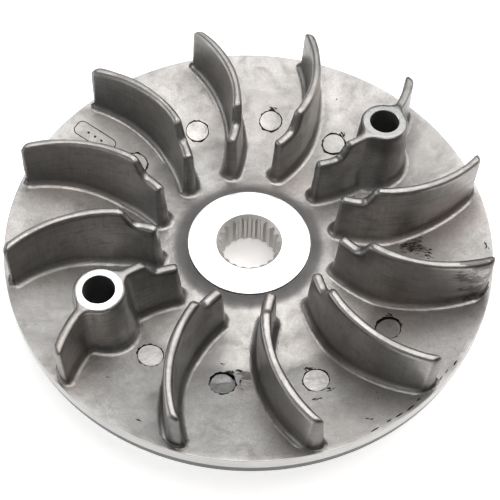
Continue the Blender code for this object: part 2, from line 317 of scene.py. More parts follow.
# Studio. The floor's own light is dimmer under the part and fades far away. A softbox is
# (name, place, size, power, tint), and all of them point at the part.
FLOOR_HALF = 4.0
FLOOR_Z = -0.05 * MM
FLOOR_GLOW = 0.52
FLOOR_TONE = (0.93, 0.93, 0.93)
SHADE_CORE = 6 * MM
SHADE_RADIUS = 30 * MM
SHADE_GLOW = 0.55
GLOW_FADE = (0.12, 0.42)
FAR_GLOW = 0.25
WORLD_GLOW = 0.12
LAMP_TARGET = Vector((0.0, 0.0, 0.01))
WHITE = (1.0, 1.0, 1.0)
ROSY = (1.0, 0.95, 0.925)
SOFTBOXES = (
    ("main_softbox", (0.10, 0.34, 0.54), (0.50, 0.30), 1.35, WHITE),
    ("zenith_softbox", (0.02, 0.02, 0.62), (0.60, 0.32), 2.0, ROSY),
    ("back_softbox", (-0.25, 0.62, 0.32), (0.6, 0.26), 0.35, WHITE),
    ("right_softbox", (0.50, 0.25, 0.45), (0.40, 0.45), 1.25, ROSY),
    ("left_softbox", (-0.60, 0.05, 0.20), (0.50, 0.30), 0.9, WHITE),
    ("front_softbox", (-0.38, -0.42, 0.30), (0.60, 0.24), 0.3, WHITE),
)


# -------- distance fields


def round_union(a, b, radius):
    """Join two solids with a concave fillet."""
    u = np.maximum(radius - a, 0.0)
    v = np.maximum(radius - b, 0.0)
    return np.maximum(radius, np.minimum(a, b)) - np.hypot(u, v)


def round_meet(a, b, radius):
    """What two solids share, with its edges rounded."""
    u = np.maximum(radius + a, 0.0)
    v = np.maximum(radius + b, 0.0)
    return np.minimum(-radius, np.maximum(a, b)) + np.hypot(u, v)


def fan_side_height(radius):
    """Height of the disc's fan side: flat floor, short blend, then the cone."""
    along = np.clip((radius - FAN_FLOOR_END) / FAN_FLOOR_BLEND, -1.0, 1.0)
    blend = CONE_SLOPE * FAN_FLOOR_BLEND * (along + 1.0) ** 2 / 4
    beyond = np.maximum(radius - FAN_FLOOR_END - FAN_FLOOR_BLEND, 0.0)
    return FAN_FLOOR_Z + blend + CONE_SLOPE * beyond


def arc_centre():
    """Centre of a vane's arc, for the vane that crosses the boss circle on +X."""
    near = BOSS_CIRCLE_RADIUS
    far = VANE_ARC_CENTRE_RADIUS
    azimuth = math.acos((near**2 + far**2 - VANE_ARC_RADIUS**2) / (2 * near * far))
    return far * math.cos(azimuth), far * math.sin(azimuth)


ARC_X, ARC_Y = arc_centre()


def crossing_azimuth(radius):
    """Azimuth at which the vane's arc crosses a circle about the hub."""
    reach = VANE_ARC_CENTRE_RADIUS
    cosine = (radius**2 + reach**2 - VANE_ARC_RADIUS**2) / (2 * radius * reach)
    return math.atan2(ARC_Y, ARC_X) - np.arccos(cosine)


def arc_turn(x, y):
    """Angle about the arc's centre, from the point where the vane crosses the boss circle.
    It grows towards the tip."""
    here = np.arctan2(y - ARC_Y, x - ARC_X)
    start = math.atan2(-ARC_Y, BOSS_CIRCLE_RADIUS - ARC_X)
    return (here - start + math.pi) % math.tau - math.pi


ROOT_AZIMUTH = float(crossing_azimuth(VANE_ROOT_RADIUS))
ROOT_X = VANE_ROOT_RADIUS * math.cos(ROOT_AZIMUTH)
ROOT_Y = VANE_ROOT_RADIUS * math.sin(ROOT_AZIMUTH)
ROOT_TURN = float(arc_turn(ROOT_X, ROOT_Y))


def stepped_top(radius, z):
    """Side view of the vane's top: high outside, with a rounded step down towards the hub."""
    step_run = VANE_HIGH_START_RADIUS - VANE_STEP_OUTER_RADIUS
    step_rise = VANE_TOP_Z - VANE_STEP_Z
    length = math.hypot(step_run, step_rise)
    step = ((z - VANE_STEP_Z) * step_run - (radius - VANE_STEP_OUTER_RADIUS) * step_rise) / length
    high = round_meet(z - VANE_TOP_Z, step, VANE_CORNER_ROUND)
    return round_union(high, z - VANE_STEP_Z, VANE_CORNER_ROUND)


def vane_wall(x, y, z):
    """A vane without its foot: rounded ridge, leaning nose, and an end with a rounded corner."""
    radius = np.hypot(x, y)
    offset = np.hypot(x - ARC_X, y - ARC_Y) - VANE_ARC_RADIUS
    half = VANE_HALF_TOP + (VANE_TOP_Z - z) * VANE_DRAFT
    run = VANE_ARC_RADIUS * (arc_turn(x, y) - ROOT_TURN) * np.sign(-ROOT_TURN)
    nose = (z - FAN_FLOOR_Z) * VANE_NOSE_LEAN - run
    top = round_meet(stepped_top(radius, z), nose, VANE_CORNER_ROUND)
    tip_lean = (VANE_TIP_FOOT_RADIUS - VANE_TIP_RADIUS) / (VANE_TOP_Z - RIM_TOP_Z)
    tip = radius - VANE_TIP_RADIUS - (VANE_TOP_Z - z) * tip_lean
    profile = round_meet(top, tip, VANE_TIP_ROUND)
    return round_meet(np.abs(offset) - half, profile, VANE_EDGE_ROUND * half)


def with_boss(wall, x, y, z):
    """Add the tool boss to its vane, webbed into both arms. Its hole is cut later."""
    reach = np.hypot(x - BOSS_CIRCLE_RADIUS, y)
    side = reach - BOSS_TOP_RADIUS - (VANE_TOP_Z - z) * BOSS_TAPER
    solid = round_union(wall, side, BOSS_WEB_FILLET)
    return round_meet(solid, z - VANE_TOP_Z, BOSS_EDGE_ROUND)


def vane_field(points, boss):
    """Distance field of a vane and its fillet, down to just under the disc's surface."""
    x, y, z = points[..., 0], points[..., 1], points[..., 2]
    wall = vane_wall(x, y, z)
    if boss:
        wall = with_boss(wall, x, y, z)
    reach = np.hypot(x, y)
    above = (z - fan_side_height(reach)) / math.sqrt(1 + CONE_SLOPE**2)
    fillet = TIP_FILLET + FILLET_GROWTH * (VANE_TIP_FOOT_RADIUS - reach)
    fillet = np.clip(fillet, TIP_FILLET, FOOT_FILLET)
    solid = round_union(wall, above + FOOT_SINK, fillet)
    foot = np.maximum(-above - FOOT_DEPTH, wall - fillet - FOOT_SPREAD)
    rim = reach - DISC_RADIUS + RIM_EDGE_ROUND
    return np.maximum(solid, np.maximum(foot, rim))


def field_surface(field, low, high, cell):
    """Quads over the zero surface of a field: one vertex in each cell that it crosses."""
    counts = [int(math.ceil((high[i] - low[i]) / cell)) + 1 for i in range(3)]
    axes = [low[i] + cell * np.arange(counts[i]) for i in range(3)]
    grid = np.stack(np.meshgrid(*axes, indexing="ij"), axis=-1)
    value = field(grid)
    inside = value < 0
    total = np.zeros([n - 1 for n in counts] + [3])
    hits = np.zeros([n - 1 for n in counts])
    quads = []
    for axis in range(3):
        one = [slice(None)] * 3
        two = [slice(None)] * 3
        one[axis] = slice(0, -1)
        two[axis] = slice(1, None)
        crossed = inside[tuple(one)] != inside[tuple(two)]
        a, b = value[tuple(one)], value[tuple(two)]
        share = np.where(crossed, a / np.where(crossed, a - b, 1.0), 0.0)
        place = grid[tuple(one)].copy()
        place[..., axis] += share * cell
        u, v = (axis + 1) % 3, (axis + 2) % 3
        for du in (0, 1):
            for dv in (0, 1):
                source = [slice(None)] * 3
                source[u] = slice(du, counts[u] - 1 + du)
                source[v] = slice(dv, counts[v] - 1 + dv)
                mask = crossed[tuple(source)]
                total += np.where(mask[..., None], place[tuple(source)], 0.0)
                hits += mask
        index = np.argwhere(crossed)
        keep = (index[:, u] > 0) & (index[:, v] > 0)
        keep &= (index[:, u] < counts[u] - 1) & (index[:, v] < counts[v] - 1)
        index = index[keep]
        ring = []
        for du, dv in ((1, 1), (0, 1), (0, 0), (1, 0)):
            cells = index.copy()
            cells[:, u] -= du
            cells[:, v] -= dv
            ring.append(cells)
        flip = ~inside[tuple(index.T)]
        ring = np.stack(ring, axis=1)
        ring[flip] = ring[flip][:, ::-1]
        quads.append(ring)
    used = hits > 0
    number = -np.ones(hits.shape, int)
    number[used] = np.arange(used.sum())
    vertices = total[used] / hits[used][:, None]
    quads = np.concatenate(quads)
    faces = number[quads[..., 0], quads[..., 1], quads[..., 2]]
    return vertices, faces


def field_slope(field, points):
    """Gradient of a field at each point."""
    slope = np.empty_like(points)
    for axis in range(3):
        shift = np.zeros(3)
        shift[axis] = SLOPE_STEP
        slope[:, axis] = (field(points + shift) - field(points - shift)) / (2 * SLOPE_STEP)
    return slope


def settle_on(field, points, cell):
    """Slide vertices onto the surface within reach of their cells, and give its normal at each."""
    start = points.copy()
    for _ in range(SETTLE_PASSES):
        slope = field_slope(field, points)
        square = np.maximum((slope**2).sum(1), LEAST_SQUARE_SLOPE)
        move = -field(points)[:, None] * slope / square[:, None]
        points = points + move
        drift = points - start
        size = np.linalg.norm(drift, axis=1)
        share = np.minimum(1.0, SETTLE_REACH * cell / np.maximum(size, 1e-9))
        points = start + drift * share[:, None]
    slope = field_slope(field, points)
    return points, slope / np.linalg.norm(slope, axis=1)[:, None]


# -------- meshes


def linked(name, data):
    """A new object in the scene."""
    thing = bpy.data.objects.new(name, data)
    bpy.context.scene.collection.objects.link(thing)
    return thing


def mesh_of(shape, name):
    """Mesh of a finished shape, which is then freed."""
    mesh = bpy.data.meshes.new(name)
    shape.to_mesh(mesh)
    shape.free()
    return mesh


def add_piece(name, mesh, materials, nodes):
    """Link a finished mesh as a piece that rides on the casting and stands for its CAD nodes."""
    piece = linked(name, mesh)
    while len(mesh.materials) < len(materials):
        mesh.materials.append(None)
    for index, material in enumerate(materials):
        mesh.materials[index] = material
    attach(piece, "root")
    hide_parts(*nodes)
    return piece


def grid_mesh(name, rows, slots, smooth_angle):
    """Closed grid mesh. Rows run round a section and columns round the axis, and both wrap."""
    row_count, column_count, _ = rows.shape
    index = np.arange(row_count * column_count).reshape(row_count, column_count)
    below = np.roll(index, -1, axis=0)
    corners = [index, np.roll(index, -1, axis=1), np.roll(below, -1, axis=1), below]
    quads = np.stack(corners, axis=-1)
    mesh = bpy.data.meshes.new(name)
    mesh.from_pydata(rows.reshape(-1, 3).tolist(), [], quads.reshape(-1, 4).tolist())
    mesh.polygons.foreach_set("material_index", np.repeat(slots, column_count).astype(np.int32))
    outward(mesh)
    mesh.shade_smooth()
    mesh.set_sharp_from_angle(angle=smooth_angle)
    return mesh


def outward(mesh):
    """Turn every face to look out of its solid."""
    shape = bmesh.new()
    shape.from_mesh(mesh)
    bmesh.ops.recalc_face_normals(shape, faces=shape.faces)
    shape.to_mesh(mesh)
    shape.free()


def rounded_outline(corners, longest):
    """Closed section from (radius, z, rounding, slot) corners, with arcs for its corners and
    long straights divided. A corner's slot is the finish of the straight that follows it."""
    points = []
    slots = []
    count = len(corners)
    for i in range(count):
        here = np.array(corners[i][:2])
        before = np.array(corners[i - 1][:2]) - here
        after = np.array(corners[(i + 1) % count][:2]) - here
        before /= np.linalg.norm(before)
        after /= np.linalg.norm(after)
        half = math.acos(np.clip(before @ after, -1.0, 1.0)) / 2
        rounding = corners[i][2]
        if rounding == 0.0:
            arc = [here]
        else:
            inward = (before + after) / np.linalg.norm(before + after)
            middle = here + inward * rounding / math.sin(half)
            reach = rounding / math.tan(half)
            start = here + before * reach - middle
            end = here + after * reach - middle
            turn = math.acos(np.clip(start @ end / rounding**2, -1.0, 1.0))
            arc = []
            for step in range(ARC_STEPS + 1):
                share = step / ARC_STEPS
                blend = math.sin((1 - share) * turn) * start + math.sin(share * turn) * end
                arc.append(middle + blend / math.sin(turn))
        for point in arc:
            points.append(point)
            slots.append(corners[i][3])
    divided = []
    finishes = []
    for i, point in enumerate(points):
        following = points[(i + 1) % len(points)]
        pieces = max(1, math.ceil(np.linalg.norm(following - point) / longest))
        for step in range(pieces):
            divided.append(point + (following - point) * step / pieces)
            finishes.append(slots[i])
    return np.array(divided), np.array(finishes)


def turned(name, corners, columns, longest, smooth_angle):
    """Solid turned about Z from the corners of its section."""
    section, slots = rounded_outline(corners, longest)
    angle = np.arange(columns) * math.tau / columns
    rows = np.empty((len(section), columns, 3))
    rows[..., 0] = section[:, :1] * np.cos(angle)
    rows[..., 1] = section[:, :1] * np.sin(angle)
    rows[..., 2] = section[:, 1:]
    return grid_mesh(name, rows, slots, smooth_angle)


def capped_turn(name, section, slots, columns):
    """Small solid turned about Z from a section that starts and ends on the axis."""
    angles = [math.tau * column / columns for column in range(columns)]
    shape = bmesh.new()
    rings = []
    for radius, z in section[1:-1]:
        ring = [shape.verts.new((radius * math.cos(a), radius * math.sin(a), z)) for a in angles]
        rings.append(ring)
    first = shape.verts.new((0.0, 0.0, section[0][1]))
    last = shape.verts.new((0.0, 0.0, section[-1][1]))
    for i in range(columns):
        j = (i + 1) % columns
        shape.faces.new((first, rings[0][i], rings[0][j])).material_index = slots[0]
        shape.faces.new((last, rings[-1][j], rings[-1][i])).material_index = slots[-1]
        for row in range(len(rings) - 1):
            corners = (rings[row][i], rings[row + 1][i], rings[row + 1][j], rings[row][j])
            shape.faces.new(corners).material_index = slots[row + 1]
    bmesh.ops.recalc_face_normals(shape, faces=shape.faces)
    return mesh_of(shape, name)


def joined(name, meshes):
    """One mesh of several."""
    shape = bmesh.new()
    for mesh in meshes:
        shape.from_mesh(mesh)
    return mesh_of(shape, name)


def cut(mesh, cutter, materials, smooth_angle, crossing=False):
    """The mesh with the cutter's solids taken out of it. The cut faces keep the cutter's slots.
    Crossing says that the cutter's solids run into each other."""
    for part in (mesh, cutter):
        for material in materials[len(part.materials):]:
            part.materials.append(material)
    piece = linked(mesh.name, mesh)
    tool = linked(cutter.name, cutter)
    boolean = piece.modifiers.new("cut", "BOOLEAN")
    boolean.solver = "EXACT"
    boolean.use_self = crossing
    boolean.object = tool
    graph = bpy.context.evaluated_depsgraph_get()
    result = bpy.data.meshes.new_from_object(piece.evaluated_get(graph))
    for part in (piece, tool):
        bpy.data.objects.remove(part)
    result.shade_smooth()
    result.set_sharp_from_angle(angle=smooth_angle)
    return result


# -------- vanes


def vane_box(boss):
    """Corners of the space that a vane and its foot fill, in the vane's own frame."""
    radii = np.linspace(VANE_ROOT_RADIUS, DISC_RADIUS, 40)
    azimuth = crossing_azimuth(radii)
    points = np.stack([radii * np.cos(azimuth), radii * np.sin(azimuth)])
    margin = VANE_HALF_TOP + FOOT_FILLET + BOX_MARGIN
    low = points.min(1) - margin
    high = points.max(1) + margin
    if boss:
        reach = BOSS_TOP_RADIUS + FOOT_FILLET + BOSS_BOX_MARGIN
        centre = np.array([BOSS_CIRCLE_RADIUS, 0.0])
        low = np.minimum(low, centre - reach)
        high = np.maximum(high, centre + reach)
    bottom = FAN_FLOOR_Z - FOOT_DEPTH - 3 * CELL
    return (*low, bottom), (*high, VANE_TOP_Z + 3 * CELL)


def vane_surface(boss, cell):
    """Vertices, faces and outward directions of one vane in its own frame."""

    def field(points):
        return vane_field(points, boss)

    low, high = vane_box(boss)
    points, faces = field_surface(field, low, high, cell)
    points, normals = settle_on(field, points, cell)
    return points, faces, normals


def wander(points, seed):
    """Gentle unevenness of a casting: a few seeded waves, between -1 and 1."""
    random = np.random.default_rng(seed)
    total = np.zeros(len(points))
    for _ in range(WANDER_WAVES):
        direction = random.normal(size=3)
        direction /= np.linalg.norm(direction)
        length = random.uniform(*WANDER_LENGTHS)
        phase = random.uniform(0.0, math.tau)
        total += np.sin(points @ direction * math.tau / length + phase)
    return total / WANDER_WAVES


def cast_variant(name, surface, index, flat_top):
    """A vane's mesh at its place round the hub, with its own slight unevenness."""
    points, faces, normals = surface
    foot = fan_side_height(np.hypot(points[:, 0], points[:, 1]))
    share = np.clip((points[:, 2] - foot - WANDER_START) / WANDER_FADE, 0.0, 1.0)
    depth = VANE_TOP_Z - points[:, 2]
    if flat_top:
        share = share * np.clip(depth / WANDER_FLAT_FADE, 0.0, 1.0)
    else:
        share = share * np.clip(depth / WANDER_RIDGE_FADE + WANDER_RIDGE_SHARE, 0.0, 1.0)
    move = normals * (wander(points, index) * share * WANDER_SIZE)[:, None]
    turn = BOSS_AZIMUTH + index * math.tau / VANE_COUNT
    spin = np.array(Matrix.Rotation(turn, 3, "Z"))
    mesh = bpy.data.meshes.new(name)
    mesh.from_pydata(((points + move) @ spin.T).tolist(), [], faces.tolist())
    mesh.shade_smooth()
    return mesh


def build_vanes(looks):
    """Ten plain vanes, in the places where no boss stands."""
    surface = vane_surface(False, CELL)
    number = 0
    for index in range(VANE_COUNT):
        if index % (VANE_COUNT // 2) == 0:
            continue
        number += 1
        name = f"fan_vane_{number:02d}"
        mesh = cast_variant(f"{name}_cast", surface, index, False)
        add_piece(f"{name}_cast", mesh, [looks["cast"]], [name])


def build_boss_vanes(looks):
    """Two opposite vanes that each carry a drilled tool boss."""
    surface = vane_surface(True, BOSS_CELL)
    hole_bottom = VANE_TOP_Z - BOSS_HOLE_DEPTH
    over = 1 * MM
    section = [
        (0.0, VANE_TOP_Z + over),
        (BOSS_HOLE_RADIUS + HOLE_CHAMFER + over, VANE_TOP_Z + over),
        (BOSS_HOLE_RADIUS, VANE_TOP_Z - HOLE_CHAMFER),
        (BOSS_HOLE_RADIUS, hole_bottom),
        (0.0, hole_bottom - DRILL_POINT_DEPTH),
    ]
    for number in (1, 2):
        materials = [looks[f"cast_boss_{number}"], looks["boss_edge"], looks["bore"]]
        index = (number - 1) * VANE_COUNT // 2
        name = f"tool_boss_{number}"
        mesh = cast_variant(f"{name}_cast", surface, index, True)
        drill = capped_turn(f"drill_{number}", section, [1, 1, 2, 2], DRILL_COLUMNS)
        turn = Matrix.Rotation(BOSS_AZIMUTH + index * math.tau / VANE_COUNT, 4, "Z")
        drill.transform(turn @ Matrix.Translation((BOSS_CIRCLE_RADIUS, 0, 0)))
        mesh = cut(mesh, drill, materials, BOSS_SHARP_ANGLE)
        nodes = [name, f"boss_inner_vane_{number}", f"boss_outer_vane_{number}"]
        add_piece(f"{name}_with_vane", mesh, materials, nodes)


# -------- disc


def disc_corners():
    """Section of the disc: skirt, fan side, rim wall, belt face, flat back and bore."""
    bore = HUB_RADIUS + HUB_SEAM
    blend_end = FAN_FLOOR_END + FAN_FLOOR_BLEND
    corners = [(bore, SKIRT_TOP_Z, SHARP_ROUND, CAST)]
    for share in np.linspace(SKIRT_START, 1.0, SKIRT_ROWS):
        radius = bore + share * (SKIRT_END_RADIUS - bore)
        height = FAN_FLOOR_Z + (SKIRT_TOP_Z - FAN_FLOOR_Z) * (1 - share) ** SKIRT_CURVE
        corners.append((radius, height, 0.0, CAST))
    for radius in np.linspace(FAN_FLOOR_END - FAN_FLOOR_BLEND, blend_end, BLEND_ROWS):
        corners.append((radius, float(fan_side_height(radius)), 0.0, CAST))
    belt_foot_z = BACK_FLAT_Z + (RIM_FOOT_RADIUS - BACK_FLAT_RADIUS) * CONE_SLOPE
    corners += [
        (DISC_RADIUS, RIM_TOP_Z, RIM_EDGE_ROUND, RIM),
        (DISC_RADIUS, RIM_WALL_BOTTOM_Z, SHARP_ROUND, RIM_LOW),
        (RIM_FOOT_RADIUS, belt_foot_z, RIM_FOOT_ROUND, BELT),
        (BACK_FLAT_RADIUS, BACK_FLAT_Z, BACK_FLAT_ROUND, BACK),
        (bore, BACK_FLAT_Z, SHARP_ROUND, BACK),
    ]
    return corners


def surface_frame(azimuth, radius, lean):
    """Frame on the fan side: X runs outward and Z along the surface's normal, leaned outward."""
    slope = math.atan(CONE_SLOPE) if radius > FAN_FLOOR_END else 0.0
    height = float(fan_side_height(radius))
    place = Matrix.Translation((radius, 0.0, height))
    tilt = Matrix.Rotation(lean - slope, 4, "Y")
    return Matrix.Rotation(azimuth, 4, "Z") @ place @ tilt


def pin_mark(index):
    """Cutter for the print of an ejector pin: a rough pad inside a ragged groove."""
    azimuth, radius, depth, lean, finish, widest, _ = PIN_MARKS[index]
    pad = {"pad": PAD, "pad_dull": PAD_DULL, "plain": CAST}[finish]
    random = np.random.default_rng(PIN_SEED + index)
    outer = PIN_RADIUS + PIN_GROOVE
    floor = -depth * MM
    groove = floor - PIN_GROOVE_DEPTH
    section = [(0.0, CUTTER_TOP), (outer, CUTTER_TOP), (outer, groove), (PIN_RADIUS, groove)]
    section.append((PIN_RADIUS - PIN_PAD_INSET, floor))
    slots = [PAD_EDGE] * 4
    for ring in range(9, 0, -1):
        section.append((PIN_RADIUS * ring / 10, floor))
        slots.append(pad)
    section.append((0.0, floor))
    slots.append(pad)
    mesh = capped_turn(f"pin_{index}", section, slots, PIN_COLUMNS)
    ragged = random.normal(size=PIN_COLUMNS)
    ragged = (ragged + np.roll(ragged, 1)) * PIN_GROOVE_RAGGED
    for vertex in mesh.vertices:
        reach = math.hypot(vertex.co.x, vertex.co.y)
        turn = math.atan2(vertex.co.y, vertex.co.x)
        if reach > PIN_RADIUS * 1.01:
            column = round(turn / math.tau * PIN_COLUMNS) % PIN_COLUMNS
            toward = max(0.0, math.cos(turn - math.radians(widest)))
            wider = max(PIN_GROOVE_LEAST, ragged[column]) + PIN_GROOVE_WIDEST * toward**2
            grow = 1 + wider / reach
            vertex.co.x *= grow
            vertex.co.y *= grow
        elif vertex.co.z < CUTTER_TOP / 2 and reach < PIN_RADIUS * 0.95:
            toward, start, slope = PIN_FACETS.get(index, (0, 9.0, 0.0))
            along = reach * math.cos(turn - math.radians(toward))
            vertex.co.z += random.normal() * PIN_PAD_ROUGH * reach / PIN_RADIUS
            vertex.co.z += slope * max(0.0, along - start * MM)
    mesh.transform(surface_frame(math.radians(azimuth), radius * MM, math.radians(lean)))
    return mesh


def flaw(azimuth, radius, along, across, count, run, random):
    """Cutters for a patch of short, dark, torn pits that all run roughly one way."""
    meshes = []
    for _ in range(count):
        outward_shift = random.uniform(-across, across) * MM
        turn_shift = random.uniform(-along, along) * MM / radius
        length = random.uniform(*PIT_LENGTHS) * MM
        width = random.uniform(*PIT_WIDTHS) * MM
        lean = math.radians(run - 90) + random.uniform(-PIT_LEAN, PIT_LEAN)
        meshes.append(gouge(azimuth + turn_shift, radius + outward_shift, length, width, lean))
    return meshes


def casting_flaws():
    """The torn flash beside some pin prints, and the scattered pits and tears of the disc."""
    random = np.random.default_rng(FLAW_SEED)
    meshes = []
    for azimuth, radius, _, _, _, _, nick in PIN_MARKS:
        if nick is not None:
            turn = math.radians(nick)
            reach = PIN_RADIUS + FLASH_GAP
            place = radius * MM + reach * math.cos(turn)
            around = math.radians(azimuth) + reach * math.sin(turn) / place
            meshes += flaw(around, place, *FLASH, nick + FLASH_TURN, random)
    for azimuth, radius, along, across, count, run in FLAWS:
        meshes += flaw(math.radians(azimuth), radius * MM, along, across, count, run, random)
    return meshes


def gouge(azimuth, radius, length, width, lean):
    """Cutter for a small nick: a stretched, faceted pebble."""
    shape = bmesh.new()
    bmesh.ops.create_icosphere(shape, subdivisions=2, radius=1.0)
    mesh = mesh_of(shape, "gouge")
    for polygon in mesh.polygons:
        polygon.material_index = PAD_EDGE
    size = Matrix.Diagonal((width, length, width * GOUGE_HEIGHT, 1.0))
    mesh.transform(surface_frame(azimuth, radius, 0.0) @ Matrix.Rotation(lean, 4, "Z") @ size)
    return mesh


def rim_nicks():
    """Nicks strung along the top edge of the rim, close together in one worn stretch."""
    random = np.random.default_rng(NICK_SEED)
    meshes = []
    azimuth = NICKS_START
    while azimuth < NICKS_END:
        length = random.uniform(*NICK_LENGTHS) * MM
        width = random.uniform(*NICK_WIDTHS) * MM
        radius = DISC_RADIUS - random.uniform(*NICK_INSETS) * MM
        lean = random.uniform(-NICK_LEAN, NICK_LEAN)
        meshes.append(gouge(azimuth, radius, length, width, lean))
        azimuth += (2 * length + random.uniform(*NICK_GAPS) * MM) / DISC_RADIUS
    return meshes


def outline_groove(half_length, half_width, corner, line, depth):
    """Cutter for an engraved rounded rectangle, in its own frame."""
    centre = []
    for quarter in range(4):
        for step in range(7):
            angle = math.radians(90 * quarter + 15 * step)
            side_x = 1 if quarter in (0, 3) else -1
            side_y = 1 if quarter in (0, 1) else -1
            x = side_x * (half_length - corner) + corner * math.cos(angle)
            y = side_y * (half_width - corner) + corner * math.sin(angle)
            centre.append((x, y, math.cos(angle), math.sin(angle)))
    rows = np.empty((4, len(centre), 3))
    offsets = ((-line, depth), (line, depth), (line * 0.3, -depth), (-line * 0.3, -depth))
    for row, (aside, height) in enumerate(offsets):
        for column, (x, y, nx, ny) in enumerate(centre):
            rows[row, column] = (x + nx * aside, y + ny * aside, height)
    return grid_mesh("outline", rows, np.full(4, PAD_EDGE), TURN_SHARP_ANGLE)


def cast_mark():
    """Plain casting mark: a rounded rectangle with three dots."""
    meshes = [outline_groove(MARK_HALF_LENGTH, MARK_HALF_WIDTH, MARK_CORNER, MARK_LINE, MARK_LINE)]
    for dot in (-1, 0, 1):
        section = [(r * MM, z * MM) for r, z in MARK_DOT]
        mesh = capped_turn("dot", section, [PAD_EDGE] * 3, MARK_DOT_COLUMNS)
        mesh.transform(Matrix.Translation((MARK_DOT_SPACING * dot, 0, 0)))
        meshes.append(mesh)
    place = surface_frame(MARK_AZIMUTH, MARK_RADIUS, 0.0) @ Matrix.Rotation(MARK_TURN, 4, "Z")
    for mesh in meshes:
        mesh.transform(place)
    return meshes


def build_disc(looks):
    """The disc, with pin prints, a plain casting mark, nicks and flaws cut into its fan side."""
    corners = disc_corners()
    mesh = turned("drive_face_disc_cast", corners, TURN_COLUMNS, TURN_STRAIGHT, TURN_SHARP_ANGLE)
    cutters = [pin_mark(index) for index in range(len(PIN_MARKS))]
    cutters += cast_mark() + rim_nicks()
    names = ("cast_disc", "rim", "rim_low", "belt", "back", "pad", "pad_dull", "pad_edge")
    materials = [looks[name] for name in names]
    mesh = cut(mesh, joined("disc_cutters", cutters), materials, CUT_SHARP_ANGLE)
    flaws = joined("flaw_cutters", casting_flaws())
    mesh = cut(mesh, flaws, materials, CUT_SHARP_ANGLE, crossing=True)
    add_piece("drive_face_disc_cast", mesh, materials, ["drive_face_disc"])


# -------- hub


def spline_wall():
    """(angle, radius) of the spline's wall all the way round, finest on the flanks."""
    breaks = (-0.5, -TIP_START, -ROOT_END, ROOT_END, TIP_START, 0.5)
    shares = [-0.5]
    for start, end, count in zip(breaks, breaks[1:], (5, 7, 7, 7, 5)):
        shares += [*np.linspace(start, end, count)[1:]]
    shares.pop()
    pitch = math.tau / SPLINE_TEETH
    wall = []
    for tooth in range(SPLINE_TEETH):
        for share in shares:
            along = np.clip((TIP_START - abs(share)) / (TIP_START - ROOT_END), 0.0, 1.0)
            bulge = FLANK_BULGE * along * (1 - along)
            radius = SPLINE_TIP_RADIUS + (SPLINE_ROOT_RADIUS - SPLINE_TIP_RADIUS) * (along + bulge)
            wall.append(((tooth + share) * pitch, radius))
    return np.array(wall)


def build_hub(looks):
    """Turned hub with its spline, whose teeth run out in the chamfers at both mouths."""
    wall = spline_wall()
    angle = wall[:, 0]
    inner = wall[:, 1]
    edge = HUB_EDGE_ROUND
    edge_radius = HUB_RADIUS - edge
    quarter = math.pi / 2 / HUB_EDGE_STEPS
    outer = []
    for radius in np.linspace(SPLINE_MOUTH_RADIUS, edge_radius, SPLINE_ROWS):
        outer.append((radius, HUB_FACE_Z, FACE))
    for step in range(1, HUB_EDGE_STEPS + 1):
        out, up = edge * math.sin(quarter * step), edge * math.cos(quarter * step)
        outer.append((edge_radius + out, HUB_FACE_Z - edge + up, FACE))
    for step in range(HUB_EDGE_STEPS):
        out, down = edge * math.cos(quarter * step), edge * math.sin(quarter * step)
        outer.append((edge_radius + out, HUB_BACK_Z + edge - down, FACE))
    for radius in np.linspace(edge_radius, SPLINE_MOUTH_RADIUS, SPLINE_ROWS):
        outer.append((radius, HUB_BACK_Z, FACE))
    outer[-1] = (*outer[-1][:2], CHAMFER)
    across, aside = np.cos(angle), np.sin(angle)
    rows = []
    slots = []
    for radius, z, slot in outer:
        rows.append(np.stack([radius * across, radius * aside, np.full(len(angle), z)], axis=-1))
        slots.append(slot)
    chamfer = SPLINE_MOUTH_RADIUS - inner
    for share in np.linspace(0.0, 1.0, SPLINE_ROWS):
        z = (1 - share) * (HUB_BACK_Z + chamfer) + share * (HUB_FACE_Z - chamfer)
        rows.append(np.stack([inner * across, inner * aside, z], axis=-1))
        slots.append(SPLINE if share < 1.0 else CHAMFER)
    mesh = grid_mesh("splined_hub_turned", np.array(rows), np.array(slots), CUT_SHARP_ANGLE)
    materials = [looks["hub_face"], looks["hub_chamfer"], looks["spline"]]
    add_piece("splined_hub_turned", mesh, materials, ["splined_hub"])


# -------- materials


def scaled(tone, factor):
    """A tone made darker or lighter."""
    return tuple(min(1.0, c * factor) for c in tone)


